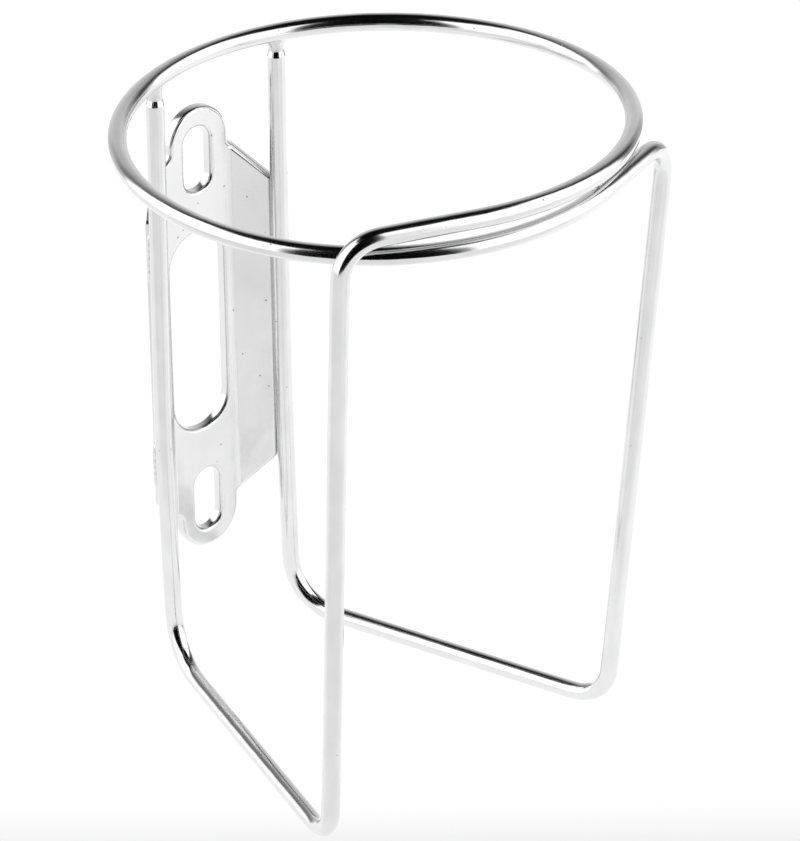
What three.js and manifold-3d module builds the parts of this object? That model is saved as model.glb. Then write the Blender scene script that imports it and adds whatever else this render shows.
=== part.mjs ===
// A wire water bottle cage for a bicycle frame, in millimetres, +Z up.
//
// One length of round stainless wire makes the whole basket. From its left end it runs down the
// left back leg, forward along the left rail, up the left front leg, once round the retaining hoop,
// down the right front leg, back along the right rail and up the right back leg. The hoop overlaps
// itself at the front: its first strand lies on top and its last strand passes below it. A pressed
// steel bracket with two slotted ears is folded forward at both sides to meet the back legs.
//
// The cage stands on its two rails. The bracket is at the back (+Y), and the origin is under the
// middle of the bounding box. The wire is modelled as the stretches between its bends, with a
// hairline gap at each cut, so that every stretch is a simple rod or ring.

import * as THREE from "three";
import { mergeVertices } from "three/addons/utils/BufferGeometryUtils.js";
import Module from "manifold-3d";

// ---------------------------------------------------------------- driving dimensions
const WIRE_RADIUS = 1.5;
const WIRE_SIDES = 16;
const SEAT_GAP = 0.3; // clearance kept between neighbouring pieces
const MERGE_TOLERANCE = 1e-4;

const HOOP_RADIUS = 40; // to the middle of the wire
const HOOP_CENTRE_Y = -2.35;
const HOOP_STEP = 5; // degrees between sections
// Height of the wire's middle every sixth of a turn. It drops by more than a wire in one turn, and
// the first two and last two values only set the slope at the overlapping ends.
const HOOP_HEIGHTS = [112.8, 112.6, 112.25, 111.2, 109.9, 109.4, 109.0, 108.0, 108.1, 109.2, 110.5];
const HOOP_HEIGHTS_START = -210;
const HOOP_HEIGHTS_STEP = 60;

const FRONT_TOP = { x: 33.65, y: -30.08 }; // corner where the hoop turns down into a front leg
const FRONT_TOP_LEFT_HEIGHT = 112.4;
const FRONT_TOP_RIGHT_HEIGHT = 107.9;
const FRONT_BOTTOM = { x: 30.64, y: -21.9 };
const BACK_BOTTOM = { x: 13.1, y: 37.9 };
const BACK_KNEE = { x: 13.13, y: 39.03, z: 45 }; // slight kink below the bracket
const BACK_TOP = { x: 12.74, y: 38.45, z: 104.8 };

const TOP_BEND_LEFT = 6;
const TOP_BEND_RIGHT = 7.5;
const FRONT_CORNER_BEND = 6.5;
const BACK_CORNER_BEND = 9;
const KNEE_BEND = 60;
const BEND_STEP = 15; // degrees between sections
const BEND_LEAD = 1; // straight wire kept on a bend before the cut

// Bracket, as a flat blank: x across, z up from its middle, folded later.
const SHEET = 2;
const SHEET_CHAMFER = 0.25;
const HOLE_SEGMENTS = 10;
const EAR_STEPS = 10;
const CORNER_STEPS = 4;
const BRACKET_FRONT_Y = 44.2; // face towards the bottle, measured from the hoop's centre
const BRACKET_MIDDLE_Z = 56.4;
const FOLD_START = 6.2; // half width of the flat web
const FOLD_RADIUS = 1.7; // on the bottle side
const FOLD_ANGLE = 39; // degrees
const FOLD_SLICES = 5;
const BLANK_HALF_WIDTH = 13.15;
const EAR_RADIUS = 6.1;
const EAR_SHIFT = 0.7; // the ears sit a little to the right of the fold lines' middle
const EAR_CENTRE = 35.1;
const EAR_FILLET = 1.5;
const SHOULDER_FOOT = 27; // height of the sloping shoulder at the side of the blank
const SHOULDER_SLOPE = 0.92;
const FLANGE_CORNER = 1.4;
const SLOT_SPACING = 64; // the standard spacing of bottle bosses
const SLOT_RADIUS = 2.75;
const SLOT_SHIFT = 0.3; // to the right, like the ears
const SLOT_LENGTH = 11.6;
const WINDOW_RADIUS = 5.7;
const WINDOW_SHIFT = -0.35; // to the left
const WINDOW_HEIGHT = 36.9;
const WINDOW_RISE = 0.4; // above the middle of the blank

// Welds.
const NECK_HEIGHT = 3.4;
const NECK_WAIST = 1.2;
const NECK_FOOT = 1.45;
const NECK_FLARE = 2.0;
const NECK_SIDES = 20;
const NECK_STEPS = 8;
const BEAD_CAP_RINGS = 4;
const BEAD_SIDES = 12;
const BEAD_RINGS = 3;
const BEAD_RADIUS = 0.65;
const BEAD_LENGTH = 9;
const BEAD_OFFSET = 67; // degrees of the bead round the leg, from the sheet's plane
const BEAD_HEIGHTS = { upper: 76.5, lower: 37.5 };
const LAP_WELD_ANGLE = -70; // where the two front strands come closest
const LAP_WELD_RADIUS = 1.1;
const LAP_WELD_LENGTH = 5;
const LAP_WELD_INSET = 1.4; // from the middle of the strands towards the bottle

// ---------------------------------------------------------------- materials
const polished = () => new THREE.MeshStandardMaterial({ color: 0xd9dbde, metalness: 1, roughness: 0.14 });
const pressed = () => new THREE.MeshStandardMaterial({ color: 0xcfd0d2, metalness: 1, roughness: 0.24 });
const weldMetal = () => new THREE.MeshStandardMaterial({ color: 0xb9babd, metalness: 1, roughness: 0.32 });

// ---------------------------------------------------------------- small helpers
const radians = THREE.MathUtils.degToRad;
const point = (x, y, z) => new THREE.Vector3(x, y, z);
const onSide = (side, p, z = p.z) => point(side * p.x, p.y + HOOP_CENTRE_Y, z);

const wasm = await Module();
wasm.setup();

function toSolid(geometry) {
  const bare = geometry.clone();
  bare.deleteAttribute("normal");
  bare.deleteAttribute("uv");
  const merged = mergeVertices(bare, MERGE_TOLERANCE);
  return new wasm.Manifold(new wasm.Mesh({
    numProp: 3,
    vertProperties: new Float32Array(merged.attributes.position.array),
    triVerts: new Uint32Array(merged.index.array),
  }));
}

function toGeometry(solid) {
  const mesh = solid.getMesh();
  const geometry = new THREE.BufferGeometry();
  geometry.setAttribute("position", new THREE.BufferAttribute(new Float32Array(mesh.vertProperties), 3));
  geometry.setIndex(new THREE.BufferAttribute(new Uint32Array(mesh.triVerts), 1));
  geometry.computeVertexNormals();
  return geometry;
}

// ---------------------------------------------------------------- wire
// A route is a list of points along the middle of the wire, closer together in the bends.
class Route extends THREE.Curve {
  constructor(points) {
    super();
    this.points = points;
  }
  getPoint(t, target = new THREE.Vector3()) {
    const last = this.points.length - 1;
    const index = Math.min(Math.floor(t * last), last - 1);
    return target.lerpVectors(this.points[index], this.points[index + 1], t * last - index);
  }
  getTangent(t, target = new THREE.Vector3()) {
    const last = this.points.length - 1;
    const index = Math.round(t * last);
    const before = this.points[Math.max(index - 1, 0)];
    const after = this.points[Math.min(index + 1, last)];
    const here = this.points[index];
    const arriving = here.clone().sub(before).normalize();
    const leaving = after.clone().sub(here).normalize();
    return target.copy(arriving.add(leaving).normalize());
  }
  getUtoTmapping(u) {
    return u; // sections sit on the route's own points
  }
}

function sweep(points, radius) {
  const section = new THREE.Shape();
  section.absarc(0, 0, radius, 0, 2 * Math.PI, false);
  return new THREE.ExtrudeGeometry(section, {
    steps: points.length - 1,
    curveSegments: WIRE_SIDES / 2,
    extrudePath: new Route(points),
  });
}

// Arc that rounds the corner at b on the way from a to c.
function bend(a, b, c, radius) {
  const back = a.clone().sub(b).normalize();
  const ahead = c.clone().sub(b).normalize();
  const half = back.angleTo(ahead) / 2;
  const start = b.clone().addScaledVector(back, radius / Math.tan(half));
  const centre = back.clone().add(ahead).normalize().multiplyScalar(radius / Math.sin(half)).add(b);
  const axis = back.clone().cross(ahead).normalize();
  const sweepAngle = Math.PI - 2 * half;
  const steps = Math.max(2, Math.ceil(sweepAngle / radians(BEND_STEP)));
  const arm = start.clone().sub(centre);
  const points = [];
  for (let i = 0; i <= steps; i += 1) {
    points.push(arm.clone().applyAxisAngle(axis, -sweepAngle * i / steps).add(centre));
  }
  return points;
}

const heading = (from, to) => to.clone().sub(from).normalize();
const towards = (from, to, distance) => from.clone().addScaledVector(heading(from, to), distance);
const lastOf = (list) => list[list.length - 1];

function hoopHeight(angle) {
  const position = (angle - HOOP_HEIGHTS_START) / HOOP_HEIGHTS_STEP;
  const i = Math.floor(position);
  const t = position - i;
  const [a, b, c, d] = HOOP_HEIGHTS.slice(i - 1, i + 3);
  return b + 0.5 * t * (c - a + t * (2 * a - 5 * b + 4 * c - d + t * (3 * (b - c) + d - a)));
}

function hoopPoint(angle) {
  const turn = radians(angle);
  return point(HOOP_RADIUS * Math.cos(turn), HOOP_CENTRE_Y + HOOP_RADIUS * Math.sin(turn), hoopHeight(angle));
}

// The strands leave the hoop's circle along its tangents through the front corners.
const cornerAngle = THREE.MathUtils.radToDeg(Math.atan2(-FRONT_TOP.y, FRONT_TOP.x));
const reach = Math.hypot(FRONT_TOP.x, FRONT_TOP.y);
const tangentAngle = -cornerAngle - THREE.MathUtils.radToDeg(Math.acos(HOOP_RADIUS / reach));
const LEFT_STRAND_ANGLE = -180 - tangentAngle;
const RIGHT_STRAND_ANGLE = 360 + tangentAngle;

const frontTop = {
  left: onSide(-1, FRONT_TOP, FRONT_TOP_LEFT_HEIGHT),
  right: onSide(1, FRONT_TOP, FRONT_TOP_RIGHT_HEIGHT),
};

function hoopRoute() {
  const circle = [];
  const count = Math.round((RIGHT_STRAND_ANGLE - LEFT_STRAND_ANGLE) / HOOP_STEP);
  for (let i = 0; i <= count; i += 1) {
    circle.push(hoopPoint(THREE.MathUtils.lerp(LEFT_STRAND_ANGLE, RIGHT_STRAND_ANGLE, i / count)));
  }
  const leftFoot = onSide(-1, FRONT_BOTTOM, WIRE_RADIUS);
  const rightFoot = onSide(1, FRONT_BOTTOM, WIRE_RADIUS);
  const leftBend = bend(leftFoot, frontTop.left, circle[0], TOP_BEND_LEFT);
  const rightBend = bend(lastOf(circle), frontTop.right, rightFoot, TOP_BEND_RIGHT);
  return [
    towards(leftBend[0], leftFoot, BEND_LEAD), ...leftBend,
    ...circle,
    ...rightBend, towards(lastOf(rightBend), rightFoot, BEND_LEAD),
  ];
}

function sideRoutes(side) {
  const top = side < 0 ? frontTop.left : frontTop.right;
  const topRadius = side < 0 ? TOP_BEND_LEFT : TOP_BEND_RIGHT;
  const strand = hoopPoint(side < 0 ? LEFT_STRAND_ANGLE : RIGHT_STRAND_ANGLE);
  const frontFoot = onSide(side, FRONT_BOTTOM, WIRE_RADIUS);
  const backFoot = onSide(side, BACK_BOTTOM, WIRE_RADIUS);
  const knee = onSide(side, BACK_KNEE);
  const end = onSide(side, BACK_TOP);

  const frontBend = bend(top, frontFoot, backFoot, FRONT_CORNER_BEND);
  const backBend = bend(frontFoot, backFoot, knee, BACK_CORNER_BEND);
  const rail = [
    towards(frontBend[0], top, BEND_LEAD), ...frontBend,
    ...backBend, towards(lastOf(backBend), knee, BEND_LEAD),
  ];
  const hoopEnd = towards(lastOf(bend(strand, top, frontFoot, topRadius)), frontFoot, BEND_LEAD);
  const frontLeg = [towards(hoopEnd, frontFoot, SEAT_GAP), towards(rail[0], top, SEAT_GAP)];
  const backLeg = [towards(lastOf(rail), knee, SEAT_GAP), ...bend(backFoot, knee, end, KNEE_BEND), end];
  return { frontLeg, rail, backLeg };
}

// ---------------------------------------------------------------- bracket
// Rounded corner of an outline: an arc from the line a-b to the line b-c.
function roundCorner(a, b, c, radius, steps) {
  const arc = bend(point(a[0], a[1], 0), point(b[0], b[1], 0), point(c[0], c[1], 0), radius);
  const curve = new THREE.SplineCurve(arc.map((p) => new THREE.Vector2(p.x, p.y)));
  return curve.getPoints(steps).map((p) => [p.x, p.y]);
}

// One quarter of the blank, from the top of the ear round to the side of the flange.
function blankQuarter(shift) {
  const points = [];
  for (let i = 0; i <= EAR_STEPS; i += 1) {
    const turn = Math.PI / 2 * (1 - i / EAR_STEPS);
    points.push([shift + EAR_RADIUS * Math.cos(turn), EAR_CENTRE + EAR_RADIUS * Math.sin(turn)]);
  }
  const side = shift + EAR_RADIUS;
  const ear = [side, EAR_CENTRE];
  const notch = [side, SHOULDER_FOOT + SHOULDER_SLOPE * (BLANK_HALF_WIDTH - side)];
  const flangeTop = [BLANK_HALF_WIDTH, SHOULDER_FOOT];
  const flangeSide = [BLANK_HALF_WIDTH, 0];
  points.push(...roundCorner(ear, notch, flangeTop, EAR_FILLET, CORNER_STEPS));
  points.push(...roundCorner(notch, flangeTop, flangeSide, FLANGE_CORNER, CORNER_STEPS));
  return points;
}

function blankOutline() {
  const right = blankQuarter(EAR_SHIFT);
  const left = blankQuarter(-EAR_SHIFT);
  const outline = [
    ...right,
    ...[...right].reverse().map(([x, z]) => [x, -z]),
    ...left.slice(1).map(([x, z]) => [-x, -z]),
    ...[...left].reverse().slice(0, -1).map(([x, z]) => [-x, z]),
  ];
  return outline.map(([x, z]) => new THREE.Vector2(x, z));
}

function obround(across, middle, radius, height) {
  const path = new THREE.Path();
  const straight = height / 2 - radius;
  path.absarc(across, middle + straight, radius, 0, Math.PI, false);
  path.absarc(across, middle - straight, radius, Math.PI, 2 * Math.PI, false);
  path.closePath();
  return path;
}

// Splits every triangle along the line x = cut, so that the sheet can be folded there.
function splitTriangles(triangles, cut) {
  const crossing = (a, b) => {
    const [low, high] = a.x < b.x ? [a, b] : [b, a];
    const t = (cut - low.x) / (high.x - low.x);
    return low.clone().lerp(high, t).setX(cut);
  };
  const result = [];
  for (const triangle of triangles) {
    const left = [];
    const right = [];
    for (let i = 0; i < 3; i += 1) {
      const a = triangle[i];
      const b = triangle[(i + 1) % 3];
      if (a.x <= cut) left.push(a);
      if (a.x >= cut) right.push(a);
      if ((a.x - cut) * (b.x - cut) < 0) {
        const middle = crossing(a, b);
        left.push(middle);
        right.push(middle);
      }
    }
    for (const piece of [left, right]) {
      if (piece.length < 3 || piece.every((p) => p.x === cut)) continue;
      for (let i = 1; i < piece.length - 1; i += 1) result.push([piece[0], piece[i], piece[i + 1]]);
    }
  }
  return result;
}

// Maps a point of the flat blank (x across, y up, z through the sheet) to the folded bracket.
function fold(p) {
  const side = Math.sign(p.x) || 1;
  const across = Math.abs(p.x);
  const bendLength = FOLD_RADIUS * radians(FOLD_ANGLE);
  const turn = THREE.MathUtils.clamp((across - FOLD_START) / FOLD_RADIUS, 0, radians(FOLD_ANGLE));
  const beyond = Math.max(across - FOLD_START - bendLength, 0);
  const flat = Math.min(across, FOLD_START);
  const x = flat + (FOLD_RADIUS + p.z) * Math.sin(turn) + beyond * Math.cos(turn);
  const inward = (FOLD_RADIUS + p.z) * (1 - Math.cos(turn)) + beyond * Math.sin(turn);
  return point(side * x, HOOP_CENTRE_Y + BRACKET_FRONT_Y + p.z - inward, BRACKET_MIDDLE_Z + p.y);
}

function bracketGeometry() {
  const blank = new THREE.Shape(blankOutline());
  for (const middle of [-SLOT_SPACING / 2, SLOT_SPACING / 2]) {
    blank.holes.push(obround(SLOT_SHIFT, middle, SLOT_RADIUS, SLOT_LENGTH));
  }
  blank.holes.push(obround(WINDOW_SHIFT, WINDOW_RISE, WINDOW_RADIUS, WINDOW_HEIGHT));
  const flat = new THREE.ExtrudeGeometry(blank, {
    depth: SHEET - 2 * SHEET_CHAMFER,
    curveSegments: HOLE_SEGMENTS,
    bevelThickness: SHEET_CHAMFER,
    bevelSize: SHEET_CHAMFER,
    bevelOffset: -SHEET_CHAMFER,
    bevelSegments: 1,
  });
  flat.translate(0, 0, SHEET_CHAMFER);

  const position = flat.attributes.position;
  const corner = (i) => new THREE.Vector3().fromBufferAttribute(position, i);
  let triangles = [];
  for (let i = 0; i < position.count; i += 3) triangles.push([corner(i), corner(i + 1), corner(i + 2)]);
  const bendLength = FOLD_RADIUS * radians(FOLD_ANGLE);
  for (let i = 0; i <= FOLD_SLICES; i += 1) {
    const cut = FOLD_START + bendLength * i / FOLD_SLICES;
    triangles = splitTriangles(splitTriangles(triangles, cut), -cut);
  }
  const geometry = new THREE.BufferGeometry().setFromPoints(triangles.flat().map(fold));
  // Folding swaps the blank's y and z, which turns its faces inside out.
  const folded = mergeVertices(geometry, MERGE_TOLERANCE);
  const index = folded.index.array;
  for (let i = 0; i < index.length; i += 3) [index[i + 1], index[i + 2]] = [index[i + 2], index[i + 1]];
  folded.computeVertexNormals();
  return folded;
}

// ---------------------------------------------------------------- welds
// Flared neck between a wire end and the underside of the hoop.
function neckGeometry(side, hoopSolid) {
  const end = onSide(side, BACK_TOP);
  const profile = [new THREE.Vector2(0, 0), new THREE.Vector2(NECK_FOOT, 0)];
  for (let i = 1; i <= NECK_STEPS; i += 1) {
    const t = i / NECK_STEPS;
    const pinch = NECK_FOOT + (NECK_WAIST - NECK_FOOT) * Math.sin(Math.PI * Math.min(2 * t, 1) / 2);
    const flare = t > 0.5 ? (NECK_FLARE - NECK_WAIST) * (2 * t - 1) ** 2 : 0;
    profile.push(new THREE.Vector2(pinch + flare, NECK_HEIGHT * t));
  }
  profile.push(new THREE.Vector2(0, NECK_HEIGHT));
  const neck = new THREE.LatheGeometry(profile, NECK_SIDES);
  neck.rotateX(Math.PI / 2);
  neck.translate(end.x, end.y, end.z + SEAT_GAP);
  return toGeometry(toSolid(neck).subtract(hoopSolid));
}

// A capsule with its axis along the given direction.
function bead(middle, direction, radius, length) {
  const capsule = new THREE.CapsuleGeometry(
    radius, length - 2 * radius, BEAD_CAP_RINGS, BEAD_SIDES, BEAD_RINGS,
  );
  const turn = new THREE.Quaternion().setFromUnitVectors(point(0, 1, 0), direction.clone().normalize());
  capsule.applyQuaternion(turn);
  capsule.translate(middle.x, middle.y, middle.z);
  return toSolid(capsule);
}

// Weld in the groove between a flange's edge and the back of its leg.
function flangeWeldGeometry(side, height, keepOut) {
  const knee = onSide(side, BACK_KNEE);
  const end = onSide(side, BACK_TOP);
  const foot = onSide(side, BACK_BOTTOM, WIRE_RADIUS);
  const from = height > knee.z ? knee : foot;
  const to = height > knee.z ? end : knee;
  const leg = from.clone().lerp(to, (height - from.z) / (to.z - from.z));
  const turn = radians(180 - FOLD_ANGLE - BEAD_OFFSET);
  const distance = WIRE_RADIUS + BEAD_RADIUS / 2;
  const offset = point(side * Math.cos(turn), Math.sin(turn), 0).multiplyScalar(distance);
  return toGeometry(bead(leg.add(offset), to.clone().sub(from), BEAD_RADIUS, BEAD_LENGTH).subtract(keepOut));
}

// Weld between the two front strands, where the hoop closes on itself.
function lapWeldGeometry(hoopSolid) {
  const upper = hoopPoint(LAP_WELD_ANGLE);
  const lower = hoopPoint(LAP_WELD_ANGLE + 360);
  const along = point(-upper.y + HOOP_CENTRE_Y, upper.x, 0);
  const inward = point(-upper.x, HOOP_CENTRE_Y - upper.y, 0).setLength(LAP_WELD_INSET);
  const middle = upper.clone().lerp(lower, 0.5).add(inward);
  return toGeometry(bead(middle, along, LAP_WELD_RADIUS, LAP_WELD_LENGTH).subtract(hoopSolid));
}

// ---------------------------------------------------------------- assembly
const group = new THREE.Group();
function add(name, geometry, material) {
  const mesh = new THREE.Mesh(geometry, material);
  mesh.name = name;
  group.add(mesh);
}

const hoop = hoopRoute();
const clearHoop = toSolid(sweep(hoop, WIRE_RADIUS + SEAT_GAP));
add("hoop", sweep(hoop, WIRE_RADIUS), polished());

const bracket = bracketGeometry();
add("mounting_bracket", bracket, pressed());
add("hoop_lap_weld", lapWeldGeometry(clearHoop), weldMetal());

for (const [name, side] of [["left", -1], ["right", 1]]) {
  const { frontLeg, rail, backLeg } = sideRoutes(side);
  add(`front_leg_${name}`, sweep(frontLeg, WIRE_RADIUS), polished());
  add(`bottom_rail_${name}`, sweep(rail, WIRE_RADIUS), polished());
  add(`back_leg_${name}`, sweep(backLeg, WIRE_RADIUS), polished());
  add(`end_weld_${name}`, neckGeometry(side, clearHoop), weldMetal());
  const keepOut = toSolid(sweep(backLeg, WIRE_RADIUS + SEAT_GAP)).add(toSolid(bracket));
  for (const [place, height] of Object.entries(BEAD_HEIGHTS)) {
    add(`flange_weld_${name}_${place}`, flangeWeldGeometry(side, height, keepOut), weldMetal());
  }
}

export default group;
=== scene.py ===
import math

import bpy
import bmesh
import numpy as np
from mathutils import Matrix, Vector
from mathutils.geometry import tessellate_polygon


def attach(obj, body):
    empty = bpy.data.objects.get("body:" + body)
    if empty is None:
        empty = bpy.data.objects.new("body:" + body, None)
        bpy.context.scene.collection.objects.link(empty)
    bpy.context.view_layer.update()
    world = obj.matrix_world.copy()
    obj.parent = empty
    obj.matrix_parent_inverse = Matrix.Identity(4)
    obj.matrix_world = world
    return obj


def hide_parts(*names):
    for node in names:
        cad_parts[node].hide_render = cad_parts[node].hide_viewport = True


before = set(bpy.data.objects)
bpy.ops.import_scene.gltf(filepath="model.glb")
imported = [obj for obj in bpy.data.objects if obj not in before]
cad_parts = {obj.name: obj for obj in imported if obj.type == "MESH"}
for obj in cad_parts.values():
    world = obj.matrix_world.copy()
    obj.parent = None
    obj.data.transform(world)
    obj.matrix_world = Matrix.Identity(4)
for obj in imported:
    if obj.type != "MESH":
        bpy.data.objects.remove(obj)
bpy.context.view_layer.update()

# A wire water bottle cage. Every length below is in millimetres until a mesh is made.
MM = 0.001

# ------------------------------------------------------------------ dimensions of the part
WIRE_RADIUS = 1.5
HOOP_RADIUS = 40.0
HOOP_CENTRE_Y = -2.35
HOOP_HEIGHTS = (112.8, 112.6, 112.25, 111.2, 109.9, 109.4, 109.0, 108.0, 108.1, 109.2, 110.5)
HOOP_HEIGHTS_START = -210.0
HOOP_HEIGHTS_STEP = 60.0
FRONT_TOP = (33.65, -30.08)
FRONT_TOP_HEIGHT = {-1: 112.4, 1: 107.9}
FRONT_BOTTOM = (30.64, -21.9, WIRE_RADIUS)
BACK_BOTTOM = (13.1, 37.9, WIRE_RADIUS)
BACK_KNEE = (13.13, 39.03, 45.0)
BACK_TOP = (12.74, 38.45, 104.8)
WIRE_TOP = {-1: 105.6, 1: 106.3}     # where each wire end finishes in its weld
TOP_BEND = {-1: 6.0, 1: 7.5}
FRONT_CORNER_BEND = 6.5
BACK_CORNER_BEND = 9.0
KNEE_BEND = 60.0

SHEET = 2.0
BRACKET_FRONT_Y = HOOP_CENTRE_Y + 44.2
BRACKET_MIDDLE_Z = 56.4
FOLD_START = 6.2
FOLD_RADIUS = 1.7
FOLD_ANGLE = math.radians(39.0)
BLANK_HALF_WIDTH = 13.15
EAR_RADIUS = 6.1
EAR_SHIFT = 0.7            # the ears sit a little to the right of the fold lines' middle
EAR_CENTRE = 35.1
EAR_FILLET = 1.5
SHOULDER_FOOT = 27.0
SHOULDER_SLOPE = 0.92
FLANGE_CORNER = 1.4
SLOT_SPACING = 64.0
SLOT_RADIUS = 2.75
SLOT_SHIFT = 0.3
SLOT_LENGTH = 11.6
WINDOW_RADIUS = 5.7
WINDOW_SHIFT = -0.35
WINDOW_HEIGHT = 36.9
WINDOW_RISE = 0.4

BEAD_RADIUS = 0.65
BEAD_LENGTH = 9.0
BEAD_OFFSET = 67.0
BEAD_HEIGHTS = {"upper": 76.5, "lower": 37.5}
LAP_WELD_ANGLE = -70.0
LAP_WELD_RADIUS = 1.1
LAP_WELD_LENGTH = 5.0
LAP_WELD_INSET = 1.4


# ------------------------------------------------------------------ small helpers
def on_side(side, p, z=None):
    return np.array((side * p[0], p[1] + HOOP_CENTRE_Y, p[2] if z is None else z))


def unit(v):
    return v / np.linalg.norm(v)


def arc(a, b, c, radius, step):
    """Arc that rounds the corner at b on the way from a to c."""
    back, ahead = unit(a - b), unit(c - b)
    half = math.acos(float(np.clip(back @ ahead, -1, 1))) / 2
    start = b + back * radius / math.tan(half)
    centre = b + unit(back + ahead) * radius / math.sin(half)
    turn = math.pi - 2 * half
    arm = start - centre
    side = unit(-back - arm * ((-back) @ arm) / (arm @ arm)) * radius
    count = max(2, math.ceil(turn / math.radians(step)))
    return [centre + arm * math.cos(turn * i / count) + side * math.sin(turn * i / count)
            for i in range(count + 1)]


def new_object(name, mesh):
    ob = bpy.data.objects.new(name, mesh)
    bpy.context.scene.collection.objects.link(ob)
    return ob


def mesh_object(name, verts, faces, material, attribute=None):
    """An object from points in mm and faces, shaded smooth."""
    mesh = bpy.data.meshes.new(name)
    mesh.from_pydata([tuple(float(c) * MM for c in v) for v in verts], [], faces)
    if attribute is not None:
        layer = mesh.attributes.new("run", "FLOAT_VECTOR", "POINT")
        layer.data.foreach_set("vector", np.asarray(attribute, dtype=np.float32).ravel())
    mesh.validate()
    bm = bmesh.new()
    bm.from_mesh(mesh)
    bmesh.ops.recalc_face_normals(bm, faces=bm.faces)
    bm.to_mesh(mesh)
    bm.free()
    mesh.shade_smooth()
    mesh.materials.append(material)
    return new_object(name, mesh)


# ------------------------------------------------------------------ materials
class Graph:
    """Short calls for building a node tree."""

    def __init__(self, tree):
        self.tree = tree

    def node(self, kind, inputs=None, **settings):
        n = self.tree.nodes.new(kind)
        for key, value in settings.items():
            setattr(n, key, value)
        for key, value in (inputs or {}).items():
            if isinstance(value, bpy.types.NodeSocket):
                self.tree.links.new(value, n.inputs[key])
            else:
                n.inputs[key].default_value = value
        return n

    def math(self, operation, a, b=0.0):
        return self.node("ShaderNodeMath", {0: a, 1: b}, operation=operation).outputs[0]

    def scaled(self, vector, scale):
        return self.node("ShaderNodeVectorMath", {0: vector, 1: scale}, operation="MULTIPLY").outputs[0]

    def noise(self, vector, scale, detail):
        inputs = {"Vector": vector, "Scale": scale, "Detail": detail}
        return self.node("ShaderNodeTexNoise", inputs).outputs["Fac"]

    def millimetres(self):
        """The place on the piece, in millimetres."""
        place = self.node("ShaderNodeTexCoord").outputs["Object"]
        return self.scaled(place, (1 / MM, 1 / MM, 1 / MM))

    def remap(self, value, low, high, to_low=0.0, to_high=1.0, smooth=False):
        return self.node("ShaderNodeMapRange",
                         {"Value": value, "From Min": low, "From Max": high, "To Min": to_low,
                          "To Max": to_high},
                         interpolation_type="SMOOTHSTEP" if smooth else "LINEAR").outputs[0]

    def pits(self, vector, scale, share, size):
        """Small round marks, 1 inside a mark. share is how many cells hold one."""
        cells = self.node("ShaderNodeTexVoronoi", {"Vector": vector, "Scale": scale, "Randomness": 1.0})
        chance = self.node("ShaderNodeSeparateColor", {0: cells.outputs["Color"]}).outputs[0]
        picked = self.math("LESS_THAN", chance, share)
        mark = self.remap(cells.outputs["Distance"], size, size * 0.5, smooth=True)
        return self.math("MULTIPLY", picked, mark)

    def mix(self, factor, a, b):
        n = self.node("ShaderNodeMix", {0: factor}, data_type="RGBA")
        for index, value in ((6, a), (7, b)):
            if isinstance(value, bpy.types.NodeSocket):
                self.tree.links.new(value, n.inputs[index])
            else:
                n.inputs[index].default_value = (*value, 1.0)
        return n.outputs[2]

    def bump(self, height, rise, normal=None):
        """Raises the surface by up to rise mm, on top of the bumps already in normal."""
        inputs = {"Height": height, "Distance": rise * MM, "Strength": 1.0}
        if normal is not None:
            inputs["Normal"] = normal
        return self.node("ShaderNodeBump", inputs).outputs[0]


# Most values of a noise lie within these spans, over which a colour or a roughness is spread.
SOFT_SPAN, FINE_SPAN, RIPPLE_SPAN = (0.3, 0.7), (0.3, 0.75), (0.35, 0.7)
WIRE_GREYS = (0.68, 0.68, 0.685), (0.72, 0.72, 0.725)
WIRE_ROUGHNESS = (0.135, 0.165)
WIRE_PIT_STAIN, WIRE_PIT_ROUGHNESS = 0.5, 0.3
PRESSED_GREYS = (0.69, 0.69, 0.695), (0.74, 0.74, 0.74)
PRESSED_ROUGHNESS = (0.16, 0.24)
PRESSED_PIT_STAIN, PRESSED_PIT_ROUGHNESS = 0.75, 0.25
WELD_GREYS = (0.62, 0.62, 0.62), (0.72, 0.72, 0.725)
WELD_ROUGHNESS = (0.13, 0.24)
PIT_GREY = (0.2, 0.19, 0.18)
PIT_DEPTH = 0.04


def new_metal(name, surface):
    """A metal whose colour, roughness and normal come from surface(graph)."""
    material = bpy.data.materials.new(name)
    material.use_nodes = True
    tree = material.node_tree
    shader = tree.nodes["Principled BSDF"]
    shader.inputs["Metallic"].default_value = 1.0
    for socket, value in zip(("Base Color", "Roughness", "Normal"), surface(Graph(tree))):
        tree.links.new(value, shader.inputs[socket])
    return material


def wire_surface(g):
    """Drawn wire: fine lines along it, slow waves and a few pits."""
    run = g.node("ShaderNodeAttribute", attribute_name="run").outputs["Vector"]
    drawn = g.noise(g.scaled(run, (0.05, 3.0, 3.0)), scale=1.6, detail=3.0)
    soft = g.noise(g.scaled(run, (0.22, 0.5, 0.5)), scale=1.0, detail=1.0)
    fine = g.noise(g.scaled(run, (2.0, 2.0, 2.0)), scale=3.0, detail=3.0)
    pits = g.pits(run, scale=0.8, share=0.10, size=0.13)
    colour = g.mix(g.remap(soft, *SOFT_SPAN), *WIRE_GREYS)
    colour = g.mix(g.math("MULTIPLY", pits, WIRE_PIT_STAIN), colour, PIT_GREY)
    rough = g.remap(fine, *FINE_SPAN, *WIRE_ROUGHNESS)
    rough = g.math("ADD", rough, g.math("MULTIPLY", pits, WIRE_PIT_ROUGHNESS))
    normal = g.bump(soft, rise=0.05)
    normal = g.bump(drawn, rise=0.003, normal=normal)
    return colour, rough, g.bump(pits, rise=-PIT_DEPTH, normal=normal)


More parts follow.
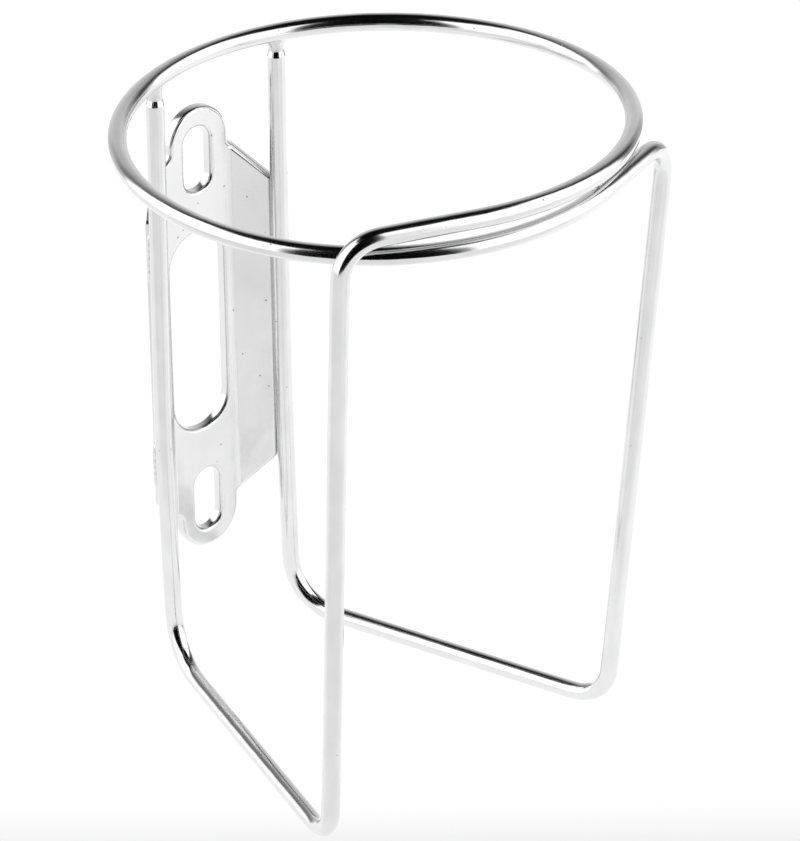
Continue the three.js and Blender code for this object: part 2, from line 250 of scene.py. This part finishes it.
def pressed_surface(g):
    """Pressed sheet: rolling grain up it, broad waves and more pits than the wire has."""
    mm = g.millimetres()
    grain = g.noise(g.scaled(mm, (6.0, 6.0, 0.25)), scale=1.0, detail=3.0)
    soft = g.noise(mm, scale=0.09, detail=2.0)
    fine = g.noise(mm, scale=4.0, detail=3.0)
    pits = g.pits(mm, scale=0.9, share=0.15, size=0.16)
    colour = g.mix(g.remap(soft, *SOFT_SPAN), *PRESSED_GREYS)
    colour = g.mix(g.math("MULTIPLY", pits, PRESSED_PIT_STAIN), colour, PIT_GREY)
    rough = g.remap(fine, *FINE_SPAN, *PRESSED_ROUGHNESS)
    rough = g.math("ADD", rough, g.math("MULTIPLY", pits, PRESSED_PIT_ROUGHNESS))
    normal = g.bump(soft, rise=0.4)
    normal = g.bump(grain, rise=0.004, normal=normal)
    return colour, rough, g.bump(pits, rise=-PIT_DEPTH, normal=normal)


def weld_surface(g):
    """Weld metal: a rippled skin."""
    mm = g.millimetres()
    ripple = g.noise(g.scaled(mm, (1.0, 1.0, 1.6)), scale=1.3, detail=3.0)
    fine = g.noise(mm, scale=6.0, detail=3.0)
    colour = g.mix(g.remap(ripple, *RIPPLE_SPAN), *WELD_GREYS)
    rough = g.remap(fine, *FINE_SPAN, *WELD_ROUGHNESS)
    normal = g.bump(ripple, rise=0.04)
    return colour, rough, g.bump(fine, rise=0.004, normal=normal)


WIRE = new_metal("polished_wire", wire_surface)
PRESSED = new_metal("pressed_steel", pressed_surface)
WELD = new_metal("weld_metal", weld_surface)


# ------------------------------------------------------------------ wire
def hoop_height(angle):
    """Height of the wire's middle at an angle round the hoop, on a smooth curve through HOOP_HEIGHTS."""
    position = (angle - HOOP_HEIGHTS_START) / HOOP_HEIGHTS_STEP
    i = math.floor(position)
    t = position - i
    a, b, c, d = HOOP_HEIGHTS[i - 1:i + 3]
    return b + 0.5 * t * (c - a + t * (2 * a - 5 * b + 4 * c - d + t * (3 * (b - c) + d - a)))


def hoop_point(angle):
    turn = math.radians(angle)
    return np.array((HOOP_RADIUS * math.cos(turn), HOOP_CENTRE_Y + HOOP_RADIUS * math.sin(turn),
                     hoop_height(angle)))


TANGENT_ANGLE = -math.degrees(math.atan2(-FRONT_TOP[1], FRONT_TOP[0])
                              + math.acos(HOOP_RADIUS / math.hypot(*FRONT_TOP)))
STRAND_ANGLE = {-1: -180.0 - TANGENT_ANGLE, 1: 360.0 + TANGENT_ANGLE}

ARC_STEP = 3.0
HOOP_SAMPLES = 400
SAMPLE = 0.25            # mm between points while the route is smoothed
SOFTEN = 1.2             # mm over which a bend eases into a straight
LARGEST_TURN = 2.4       # degrees between sections
LARGEST_STEP = 6.0       # mm between sections
WIRE_SIDES = 48
SOFTEN_REACH = 4         # the smoothing looks this many times its spread to each side
END_TAPER = 1.0          # each end narrows to its weld over this length
# (distance from the tip, radius) along that cone: rings set close together keep its edges crisp.
END_CONE = ((0.0, 1.22), (0.03, 1.24), (0.94, 1.47), (1.0, 1.494), (1.06, WIRE_RADIUS))
SEAM_WAY = (0.3, 0.2, 0.9)      # any direction that the wire does not start along


def leg_end(side):
    """The tip of the wire on one side, on the line of its back leg."""
    knee, top = on_side(side, BACK_KNEE), on_side(side, BACK_TOP)
    return knee + (top - knee) * (WIRE_TOP[side] - knee[2]) / (top[2] - knee[2])


def wire_route():
    def half(side):
        """From a wire end down to the front top corner on one side."""
        end, knee = leg_end(side), on_side(side, BACK_KNEE)
        back, front = on_side(side, BACK_BOTTOM), on_side(side, FRONT_BOTTOM)
        top = on_side(side, FRONT_TOP, FRONT_TOP_HEIGHT[side])
        strand = hoop_point(STRAND_ANGLE[side])
        return ([end] + arc(end, knee, back, KNEE_BEND, ARC_STEP)
                + arc(knee, back, front, BACK_CORNER_BEND, ARC_STEP)
                + arc(back, front, top, FRONT_CORNER_BEND, ARC_STEP)
                + arc(front, top, strand, TOP_BEND[side], ARC_STEP))

    circle = [hoop_point(a) for a in np.linspace(STRAND_ANGLE[-1], STRAND_ANGLE[1], HOOP_SAMPLES)]
    return np.array(half(-1) + circle + half(1)[::-1])


def resample(points, step):
    lengths = np.concatenate(([0.0], np.cumsum(np.linalg.norm(np.diff(points, axis=0), axis=1))))
    count = int(round(lengths[-1] / step)) + 1
    places = np.linspace(0.0, lengths[-1], count)
    return np.stack([np.interp(places, lengths, points[:, k]) for k in range(3)], axis=1)


def soften(points, spread):
    """Gaussian smoothing along the route that keeps its two ends in place."""
    reach = int(SOFTEN_REACH * spread / SAMPLE)
    weights = np.exp(-0.5 * (np.arange(-reach, reach + 1) * SAMPLE / spread) ** 2)
    weights /= weights.sum()
    before = 2 * points[0] - points[reach:0:-1]
    after = 2 * points[-1] - points[-2:-reach - 2:-1]
    padded = np.concatenate((before, points, after))
    return np.stack([np.convolve(padded[:, k], weights, mode="valid") for k in range(3)], axis=1)


def thin_out(points):
    """Keeps the points needed for sections no further apart than the limits."""
    directions = np.diff(points, axis=0)
    directions /= np.linalg.norm(directions, axis=1)[:, None]
    kept, last = [0], 0
    for i in range(1, len(points) - 1):
        turned = math.degrees(math.acos(float(np.clip(directions[last] @ directions[i], -1, 1))))
        if turned > LARGEST_TURN or (i - last) * SAMPLE > LARGEST_STEP:
            kept.append(i)
            last = i
    return kept + [len(points) - 1]


def tube(name, points, distances, radii, material):
    """A tube round the points, closed at both ends, with a straightened coordinate on each vertex."""
    tangents = np.gradient(points, axis=0)
    tangents /= np.linalg.norm(tangents, axis=1)[:, None]
    side = unit(np.cross(tangents[0], SEAM_WAY))
    verts, coords, faces = [], [], []
    angles = np.linspace(0, 2 * math.pi, WIRE_SIDES, endpoint=False)
    for i, (p, t, r) in enumerate(zip(points, tangents, radii)):
        side = unit(side - t * (side @ t))
        other = np.cross(t, side)
        for a in angles:
            out = side * math.cos(a) + other * math.sin(a)
            verts.append(p + out * r)
            coords.append((distances[i], WIRE_RADIUS * math.cos(a), WIRE_RADIUS * math.sin(a)))
    for i in range(len(points) - 1):
        for j in range(WIRE_SIDES):
            k = (j + 1) % WIRE_SIDES
            faces.append((i * WIRE_SIDES + j, i * WIRE_SIDES + k,
                          (i + 1) * WIRE_SIDES + k, (i + 1) * WIRE_SIDES + j))
    for ring in (0, len(points) - 1):
        verts.append(points[ring])
        coords.append((distances[ring], 0.0, 0.0))
        first = ring * WIRE_SIDES
        for j in range(WIRE_SIDES):
            faces.append((len(verts) - 1, first + j, first + (j + 1) % WIRE_SIDES))
    return mesh_object(name, verts, faces, material, coords)


def make_wire():
    fine = soften(resample(wire_route(), SAMPLE), SOFTEN)
    kept = thin_out(fine)
    last = kept[-1]
    beyond = int(2 * END_TAPER / SAMPLE)
    body = [(fine[i], WIRE_RADIUS, i * SAMPLE) for i in kept if beyond < i < last - beyond]
    cones = []
    for end, inward in ((0, 1), (last, -1)):
        direction = unit(fine[end + inward * beyond] - fine[end])
        cones.append([(fine[end] + direction * d, r, end * SAMPLE + inward * d) for d, r in END_CONE])
    rows = cones[0] + body + cones[1][::-1]
    points, radii, distances = (np.array([row[k] for row in rows]) for k in range(3))
    return tube("cage_wire", points, distances, radii, WIRE)


wire = make_wire()


# ------------------------------------------------------------------ bracket
FLANGE_REACH = 0.6       # longer than in the CAD by this much, so that the flanges meet the legs
FRONT_ROUND = 0.7        # rolled edge on the bottle side
BACK_ROUND = 0.22
ROUND_STEPS = 5
CORNER_STEP = 6.0        # degrees between points round a corner
EAR_POINTS = 24
HOLE_POINTS = 28
FOLD_CUTS = 18           # bands round each fold
CUT_TOLERANCE = 1e-5
FLAT_TOLERANCE = 1e-4


def rounded(a, b, c, radius):
    lift = [np.array((p[0], p[1], 0.0)) for p in (a, b, c)]
    return [(p[0], p[1]) for p in arc(*lift, radius, CORNER_STEP)]


def blank_quarter(shift):
    """One quarter of the flat blank, from the top of the ear round to the side of the flange."""
    side = shift + EAR_RADIUS
    half_width = BLANK_HALF_WIDTH + FLANGE_REACH
    rise = SHOULDER_SLOPE * (BLANK_HALF_WIDTH - side)
    ear, notch = (side, EAR_CENTRE), (side, SHOULDER_FOOT + rise)
    flange_top = (half_width, SHOULDER_FOOT - SHOULDER_SLOPE * FLANGE_REACH)
    flange_side = (half_width, 0.0)
    quarter = [(shift + EAR_RADIUS * math.sin(t), EAR_CENTRE + EAR_RADIUS * math.cos(t))
               for t in np.linspace(0, math.pi / 2, EAR_POINTS)]
    quarter += rounded(ear, notch, flange_top, EAR_FILLET)
    quarter += rounded(notch, flange_top, flange_side, FLANGE_CORNER)
    return quarter


def blank_outline():
    """The flat blank, the same at the top and the bottom, with its ears a little to the right."""
    right, left = blank_quarter(EAR_SHIFT), blank_quarter(-EAR_SHIFT)
    return (right + [(x, -z) for x, z in right[::-1]] + [(-x, -z) for x, z in left[1:]]
            + [(-x, z) for x, z in left[::-1][:-1]])[::-1]


def obround(across, middle, radius, height):
    """A slot's outline with round ends, across and middle being its centre on the flat blank."""
    straight = height / 2 - radius
    turns = np.linspace(0, math.pi, HOLE_POINTS)
    top = [(across + radius * math.cos(t), middle + straight + radius * math.sin(t)) for t in turns]
    bottom = [(across - radius * math.cos(t), middle - straight - radius * math.sin(t)) for t in turns]
    return (top + bottom)[::-1]


def fold_turn(x):
    """How far the sheet has turned, x mm from the middle of the flat blank."""
    return min(max((abs(x) - FOLD_START) / FOLD_RADIUS, 0.0), FOLD_ANGLE)


def fold(x, z, depth):
    """A point of the flat blank, depth mm behind its bottle side, on the folded bracket."""
    across = abs(x)
    turn = fold_turn(x)
    beyond = max(across - FOLD_START - FOLD_RADIUS * FOLD_ANGLE, 0.0)
    out = min(across, FOLD_START) + (FOLD_RADIUS + depth) * math.sin(turn) + beyond * math.cos(turn)
    inward = (FOLD_RADIUS + depth) * (1 - math.cos(turn)) + beyond * math.sin(turn)
    return (math.copysign(out, x), BRACKET_FRONT_Y + depth - inward, BRACKET_MIDDLE_Z + z)


def edge_profile():
    """(distance in from the outline, depth) from the bottle side to the frame side."""
    angles = [math.pi / 2 * i / ROUND_STEPS for i in range(ROUND_STEPS + 1)]
    front = [(FRONT_ROUND * (1 - math.sin(a)), FRONT_ROUND * (1 - math.cos(a))) for a in angles]
    back = [(BACK_ROUND * (1 - math.cos(a)), SHEET - BACK_ROUND * (1 - math.sin(a))) for a in angles]
    return front + back


def rim(bm, outline, profile, outer):
    """The sheet's edge round one outline: a ring of points for each step of the profile, joined up."""
    points = np.array(outline)
    ahead = np.roll(points, -1, axis=0) - points
    ahead /= np.linalg.norm(ahead, axis=1)[:, None]
    along = ahead + np.roll(ahead, 1, axis=0)
    along /= np.linalg.norm(along, axis=1)[:, None]
    left = np.stack((-along[:, 1], along[:, 0]), axis=1)
    after = np.roll(points, -1, axis=0)
    area = 0.5 * np.sum(points[:, 0] * after[:, 1] - after[:, 0] * points[:, 1])
    into_sheet = left * math.copysign(1.0, area) * (1 if outer else -1)
    rings = [[bm.verts.new((p[0], p[1], depth)) for p in points + into_sheet * inset]
             for inset, depth in profile]
    for a, b in zip(rings, rings[1:]):
        for j in range(len(points)):
            k = (j + 1) % len(points)
            bm.faces.new((a[j], a[k], b[k], b[j]))
    return rings


def flat_sheet(bm):
    """The blank before it is folded: x across, y up, z from the bottle side to the frame side."""
    holes = [obround(*hole) for hole in (
        (SLOT_SHIFT, -SLOT_SPACING / 2, SLOT_RADIUS, SLOT_LENGTH),
        (SLOT_SHIFT, SLOT_SPACING / 2, SLOT_RADIUS, SLOT_LENGTH),
        (WINDOW_SHIFT, WINDOW_RISE, WINDOW_RADIUS, WINDOW_HEIGHT))]
    profile = edge_profile()
    rims = [rim(bm, blank_outline(), profile, True)] + [rim(bm, hole, profile, False) for hole in holes]
    for layer in (0, -1):
        rings = [rings[layer] for rings in rims]
        flat = [v for ring in rings for v in ring]
        for triangle in tessellate_polygon([[v.co for v in ring] for ring in rings]):
            bm.faces.new([flat[i] for i in triangle])
    for side in (-1, 1):
        for i in range(FOLD_CUTS + 1):
            cut = (side * (FOLD_START + FOLD_RADIUS * FOLD_ANGLE * i / FOLD_CUTS), 0, 0)
            everything = bm.verts[:] + bm.edges[:] + bm.faces[:]
            bmesh.ops.bisect_plane(bm, geom=everything, dist=CUT_TOLERANCE, plane_co=cut, plane_no=(1, 0, 0))


def make_bracket():
    bm = bmesh.new()
    flat_sheet(bm)
    facings = {}
    bm.verts.index_update()
    for v in bm.verts:
        if v.co.z < FLAT_TOLERANCE or v.co.z > SHEET - FLAT_TOLERANCE:
            turn = fold_turn(v.co.x)
            way = -1.0 if v.co.z < FLAT_TOLERANCE else 1.0
            facings[v.index] = (way * math.copysign(math.sin(turn), v.co.x), way * math.cos(turn), 0.0)
        v.co = Vector(fold(v.co.x, v.co.y, v.co.z)) * MM
    bmesh.ops.recalc_face_normals(bm, faces=bm.faces)
    if bm.calc_volume(signed=True) < 0:
        bmesh.ops.reverse_faces(bm, faces=bm.faces)
    mesh = bpy.data.meshes.new("bracket_plate")
    bm.to_mesh(mesh)
    bm.free()
    mesh.shade_smooth()
    mesh.materials.append(PRESSED)
    # The flat faces keep their own direction right up to the rolled edge.
    smooth = [tuple(v.normal) for v in mesh.vertices]
    mesh.normals_split_custom_set_from_vertices([facings.get(i, n) for i, n in enumerate(smooth)])
    return new_object("bracket_plate", mesh)


bracket = make_bracket()


# ------------------------------------------------------------------ welds
def lathe(name, rows, material, columns):
    """A closed surface from rows of points, each row one ring."""
    verts = [p for row in rows for p in row]
    faces = []
    for i in range(len(rows) - 1):
        here, above = i * columns, (i + 1) * columns
        for j in range(columns):
            k = (j + 1) % columns
            faces.append((here + j, here + k, above + k, above + j))
    faces.append(tuple(range(columns)))
    faces.append(tuple((len(rows) - 1) * columns + j for j in range(columns)))
    return mesh_object(name, verts, faces, material)


NECK_COLUMNS = 72
NECK_ROWS = 36
NECK_RADIUS = 1.24
NECK_SPREAD_ALONG = 2.7      # how far the fillet runs out under the hoop, along it and across it
NECK_SPREAD_ACROSS = 1.36
NECK_OVERLAP = 0.3           # how deep it sinks into the wires it joins
NECK_PINCH = 0.05            # how far it narrows, a quarter of the way up
NECK_COLLAR = 0.15           # the share of its height below the flare


def make_neck(name, side):
    """Weld that flares from the tip of the wire out along the underside of the hoop."""
    tip = leg_end(side)
    centre = np.array((0.0, HOOP_CENTRE_Y))
    radial = unit(tip[:2] - centre)
    along = np.array((-radial[1], radial[0]))
    turn = math.degrees(math.atan2(tip[1] - HOOP_CENTRE_Y, tip[0]))
    rows = []
    for i in range(NECK_ROWS + 1):
        t = i / NECK_ROWS
        row = []
        for a in np.linspace(0, 2 * math.pi, NECK_COLUMNS, endpoint=False):
            reach = 1 / math.hypot(math.cos(a) / NECK_SPREAD_ALONG, math.sin(a) / NECK_SPREAD_ACROSS)
            # Quarter ellipse: upright where it leaves the wire, level where it meets the hoop.
            quarter = math.pi / 2 * max(0.0, (t - NECK_COLLAR) / (1 - NECK_COLLAR))
            pinch = NECK_PINCH * math.sin(math.pi * min(2 * t, 1))
            radius = NECK_RADIUS - pinch + (reach - NECK_RADIUS) * (1 - math.cos(quarter))
            outward = along * math.cos(a) + radial * math.sin(a)
            spot = tip[:2] + radius * outward
            angle = turn + math.degrees(math.cos(a) * radius / HOOP_RADIUS)
            away = np.linalg.norm(tip[:2] + reach * outward - centre)
            sink = WIRE_RADIUS ** 2 - (away - HOOP_RADIUS) ** 2
            top = hoop_height(angle) - math.sqrt(max(sink, 0.0)) + NECK_OVERLAP
            rise = NECK_COLLAR * min(t / NECK_COLLAR, 1) + (1 - NECK_COLLAR) * math.sin(quarter)
            foot = tip[2] - NECK_OVERLAP
            row.append((spot[0], spot[1], foot + (top - foot) * rise))
        rows.append(row)
    return lathe(name, rows, WELD, NECK_COLUMNS)


BEAD_COLUMNS = 32
BEAD_ROWS = 60
BEAD_SEAM_WAY = (0.31, 0.27, 0.91)      # any direction that no bead lies along
BEAD_CAP_POWER = 5       # how square the ends of a bead are
BEAD_TIP = 0.01          # radius left at its very ends
BEAD_SINK = 0.15         # how deep the beads on the flanges sit in the wire
RIPPLE_POWER = 0.6       # how full each ripple is
RIPPLE_UNEVEN = 0.15     # how much the ripples differ in height
RIPPLE_FOOT, RIPPLE_HEIGHT = 0.90, 0.14      # shares of the bead's radius
FLANGE_RIPPLES = 7
LAP_RIPPLES = 4
LAP_SEED = 40


def make_bead(name, middle, direction, radius, length, ripples, seed):
    """A weld bead: a rounded rod with overlapping ripples along it."""
    direction = unit(direction)
    side = unit(np.cross(direction, BEAD_SEAM_WAY))
    other = np.cross(direction, side)
    rng = np.random.default_rng(seed)
    lean = rng.uniform(1 - RIPPLE_UNEVEN, 1 + RIPPLE_UNEVEN, ripples + 2)
    rows = []
    for i in range(BEAD_ROWS + 1):
        t = i / BEAD_ROWS
        place = (t - 0.5) * length
        cap = math.sqrt(max(1 - abs(2 * t - 1) ** BEAD_CAP_POWER, 0.0))
        phase = t * ripples
        bulge = abs(math.sin(math.pi * phase)) ** RIPPLE_POWER * lean[int(phase)]
        r = radius * (RIPPLE_FOOT * cap + RIPPLE_HEIGHT * bulge * cap) + BEAD_TIP
        middle_here = middle + direction * place
        rows.append([middle_here + r * (side * math.cos(a) + other * math.sin(a))
                     for a in np.linspace(0, 2 * math.pi, BEAD_COLUMNS, endpoint=False)])
    return lathe(name, rows, WELD, BEAD_COLUMNS)


def leg_at(side, height):
    """The middle of a back leg at a height, and the leg's direction there."""
    foot, knee, top = on_side(side, BACK_BOTTOM), on_side(side, BACK_KNEE), on_side(side, BACK_TOP)
    a, b = (knee, top) if height > knee[2] else (foot, knee)
    return a + (b - a) * (height - a[2]) / (b[2] - a[2]), b - a


welds = []
for side_name, side in (("left", -1), ("right", 1)):
    node = "end_weld_" + side_name
    neck = make_neck("fillet_" + side_name, side)
    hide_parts(node)
    welds.append(neck)
    for place, height in BEAD_HEIGHTS.items():
        node = "flange_weld_%s_%s" % (side_name, place)
        leg, direction = leg_at(side, height)
        turn = math.pi - FOLD_ANGLE - math.radians(BEAD_OFFSET)
        outward = np.array((side * math.cos(turn), math.sin(turn), 0.0))
        middle = leg + outward * (WIRE_RADIUS + BEAD_RADIUS / 2 - BEAD_SINK)
        bead = make_bead("bead_%s_%s" % (side_name, place), middle, direction, BEAD_RADIUS, BEAD_LENGTH,
                         FLANGE_RIPPLES, seed=len(welds))
        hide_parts(node)
        welds.append(bead)

upper, lower = hoop_point(LAP_WELD_ANGLE), hoop_point(LAP_WELD_ANGLE + 360)
run = np.array((-(upper[1] - HOOP_CENTRE_Y), upper[0], 0.0))
inset = unit(np.array((-upper[0], HOOP_CENTRE_Y - upper[1], 0.0))) * LAP_WELD_INSET
lap = make_bead("bead_lap", (upper + lower) / 2 + inset, run, LAP_WELD_RADIUS, LAP_WELD_LENGTH,
                LAP_RIPPLES, LAP_SEED)
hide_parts("hoop_lap_weld")
welds.append(lap)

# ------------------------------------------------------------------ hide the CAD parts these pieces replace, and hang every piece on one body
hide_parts("hoop", "front_leg_left", "front_leg_right", "bottom_rail_left", "bottom_rail_right",
            "back_leg_left", "back_leg_right")
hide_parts("mounting_bracket")
for piece, slot in [(wire, "wire"), (bracket, "bracket")] + [(w, "weld") for w in welds]:
    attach(piece, "root")

# ------------------------------------------------------------------ camera
CAMERA_AZIMUTH = math.radians(-41.838)
CAMERA_ELEVATION = math.radians(29.211)
CAMERA_ROLL = math.radians(-0.495)
CAMERA_DISTANCE = 816.9
CAMERA_TARGET = (57.71, 56.97, 11.55)
CAMERA_LENS = 202.634
SENSOR = 36.0
CLIP_END = 50000.0


def make_camera():
    data = bpy.data.cameras.new("camera")
    data.sensor_fit = "HORIZONTAL"
    data.sensor_width = SENSOR
    data.lens = CAMERA_LENS
    data.clip_end = CLIP_END * MM
    ob = bpy.data.objects.new("camera", data)
    bpy.context.scene.collection.objects.link(ob)
    turn = (Matrix.Rotation(CAMERA_AZIMUTH, 4, "Z")
            @ Matrix.Rotation(math.pi / 2 - CAMERA_ELEVATION, 4, "X")
            @ Matrix.Rotation(CAMERA_ROLL, 4, "Z"))
    ahead = turn.to_3x3() @ Vector((0, 0, -1))
    place = (Vector(CAMERA_TARGET) - ahead * CAMERA_DISTANCE) * MM
    ob.matrix_world = Matrix.Translation(place) @ turn
    bpy.context.scene.camera = ob


make_camera()

# ------------------------------------------------------------------ studio
# Two softboxes stand left and right of the view, a grey backdrop hangs behind the object, the room
# above and behind the camera is dark, and the object stands on a white table.
AHEAD = (math.sin(-CAMERA_AZIMUTH), math.cos(CAMERA_AZIMUTH))      # level direction of the view
ACROSS = (math.cos(CAMERA_AZIMUTH), math.sin(CAMERA_AZIMUTH))
SOFTBOX = 1.7
DARK_ROOM = 0.001
TABLE_HALF_WIDTH = 620.0
TABLE_HALF_DEPTH = 340.0
TABLE_FRONT, TABLE_BACK = 1.03, 1.20       # light off the table in front of the object and behind it
TABLE_LEFT, TABLE_RIGHT = -0.03, 0.07      # added well to the left and right of it
FLOOR_SIZE = 8000.0
FLOOR_FRONT, FLOOR_BACK = 0.87, 1.05       # light off the floor in front of the object and beyond
# The mm over which these change, along the view or across it, from the frame's origin.
TABLE_DEPTH_SPAN = (-65.0, -15.0)
TABLE_LEFT_SPAN = (-40.0, -110.0)
TABLE_RIGHT_SPAN = (35.0, 85.0)
FLOOR_DEPTH_SPAN = (-43.0, -18.0)

# (degrees, brightness). The backdrop and the glow at its foot are given by height above the horizon and
# all round, left to right. The softboxes are given by the angle to either side.
BACKDROP_BY_HEIGHT = ((-20, 0.86), (8, 0.83), (25, 0.69), (35, 0.54), (45, 0.29), (56, 0.03),
                      (68, 0.0), (80, 0.0))
BACKDROP_AROUND = ((-75, 0.0), (-62, 0.35), (-50, 0.30), (-38, 0.62), (-25, 0.95), (0, 1.0), (22, 1.0),
                   (36, 0.50), (46, 0.06), (58, 0.08), (72, 0.0))
HORIZON_GLOW_AROUND = ((-75, 0.0), (-60, 0.4), (-45, 0.35), (-30, 0.0), (30, 0.0), (45, 0.30),
                       (60, 0.30), (75, 0.0))
HORIZON_GLOW_BY_HEIGHT = ((-30, 1.0), (-2, 1.0), (16, 0.0))
SOFTBOX_AROUND = ((55, 0.0), (64, 1.0), (137, 1.0), (146, 0.0))
SOFTBOX_BY_HEIGHT = ((-30, 1.0), (54, 1.0), (61, 0.0))


def ramp(g, value, low, high, stops):
    """A smooth curve through (value, brightness) stops."""
    span = g.remap(value, low, high)
    n = g.node("ShaderNodeValToRGB", {0: span})
    n.color_ramp.interpolation = "EASE"
    elements = n.color_ramp.elements
    while len(elements) < len(stops):
        elements.new(0.5)
    for element, (place, light) in zip(elements, stops):
        element.position = (place - low) / (high - low)
        element.color = (light, light, light, 1.0)
    return n.outputs[0]


def glowing_plane(name, corners, light):
    """A flat stage piece that gives off light(graph, place)."""
    mesh = bpy.data.meshes.new(name)
    mesh.from_pydata([tuple(c * MM for c in corner) for corner in corners], [], [(0, 1, 2, 3)])
    material = bpy.data.materials.new(name + "_white")
    material.use_nodes = True
    tree = material.node_tree
    tree.nodes.remove(tree.nodes["Principled BSDF"])
    g = Graph(tree)
    place = g.node("ShaderNodeTexCoord").outputs["Object"]
    glow = g.node("ShaderNodeEmission", {"Color": (1, 1, 1, 1), "Strength": light(g, place)}).outputs[0]
    tree.links.new(glow, tree.nodes["Material Output"].inputs["Surface"])
    mesh.materials.append(material)
    ob = new_object(name, mesh)
    return ob


def along(g, place, direction):
    inputs = {0: place, 1: (*direction, 0.0)}
    return g.node("ShaderNodeVectorMath", inputs, operation="DOT_PRODUCT").outputs["Value"]


def fade(g, place, direction, span, start, end):
    """Light that goes smoothly from start to end over a span of mm in a direction."""
    return g.remap(along(g, place, direction), span[0] * MM, span[1] * MM, start, end, smooth=True)


def level_corners(half_width, half_depth, across, ahead):
    return [tuple(half_width * u * a + half_depth * v * b for a, b in zip(across, ahead)) + (0.0,)
            for u, v in ((-1, -1), (1, -1), (1, 1), (-1, 1))]


def make_floor():
    """The floor that the camera sees, and the smaller table that the object reflects."""
    def floor_light(g, place):
        return fade(g, place, AHEAD, FLOOR_DEPTH_SPAN, FLOOR_FRONT, FLOOR_BACK)

    def table_light(g, place):
        depth = fade(g, place, AHEAD, TABLE_DEPTH_SPAN, TABLE_FRONT, TABLE_BACK)
        right = fade(g, place, ACROSS, TABLE_RIGHT_SPAN, 0.0, TABLE_RIGHT)
        left = fade(g, place, ACROSS, TABLE_LEFT_SPAN, 0.0, TABLE_LEFT)
        return g.math("ADD", depth, g.math("ADD", right, left))

    half = FLOOR_SIZE / 2
    floor = glowing_plane("floor", level_corners(half, half, (1, 0), (0, 1)), floor_light)
    floor.visible_glossy = False
    table_corners = level_corners(TABLE_HALF_WIDTH, TABLE_HALF_DEPTH, ACROSS, AHEAD)
    table = glowing_plane("table", table_corners, table_light)
    table.visible_camera = False


def make_world():
    """The room as the object reflects it. The camera itself sees plain white behind the floor."""
    world = bpy.data.worlds.new("studio")
    bpy.context.scene.world = world
    world.use_nodes = True
    tree = world.node_tree
    g = Graph(tree)
    way = g.node("ShaderNodeTexCoord").outputs["Generated"]
    degrees = 180 / math.pi
    upward = g.node("ShaderNodeSeparateXYZ", {0: way}).outputs[2]
    height = g.math("MULTIPLY", g.math("ARCSINE", upward), degrees)
    around = g.math("MULTIPLY", g.math("ARCTAN2", along(g, way, ACROSS), along(g, way, AHEAD)), degrees)
    box = g.math("MULTIPLY", ramp(g, g.math("ABSOLUTE", around), 0, 180, SOFTBOX_AROUND),
                 ramp(g, height, -90, 90, SOFTBOX_BY_HEIGHT))
    back = g.math("MULTIPLY", ramp(g, around, -180, 180, BACKDROP_AROUND),
                  ramp(g, height, -90, 90, BACKDROP_BY_HEIGHT))
    glow = g.math("MULTIPLY", ramp(g, around, -180, 180, HORIZON_GLOW_AROUND),
                  ramp(g, height, -90, 90, HORIZON_GLOW_BY_HEIGHT))
    light = g.math("ADD", g.math("MULTIPLY", box, SOFTBOX), DARK_ROOM)
    light = g.math("ADD", light, glow)
    light = g.math("ADD", light, g.math("MULTIPLY", back, g.math("SUBTRACT", 1.0, box)))
    seen = g.node("ShaderNodeLightPath").outputs["Is Camera Ray"]
    light = g.math("ADD", g.math("MULTIPLY", light, g.math("SUBTRACT", 1.0, seen)),
                   g.math("MULTIPLY", seen, FLOOR_BACK))
    background = tree.nodes["Background"]
    background.inputs["Color"].default_value = (1, 1, 1, 1)
    tree.links.new(light, background.inputs["Strength"])


make_floor()
make_world()
bpy.context.scene.view_settings.view_transform = "Standard"
bpy.context.scene.view_settings.look = "None"
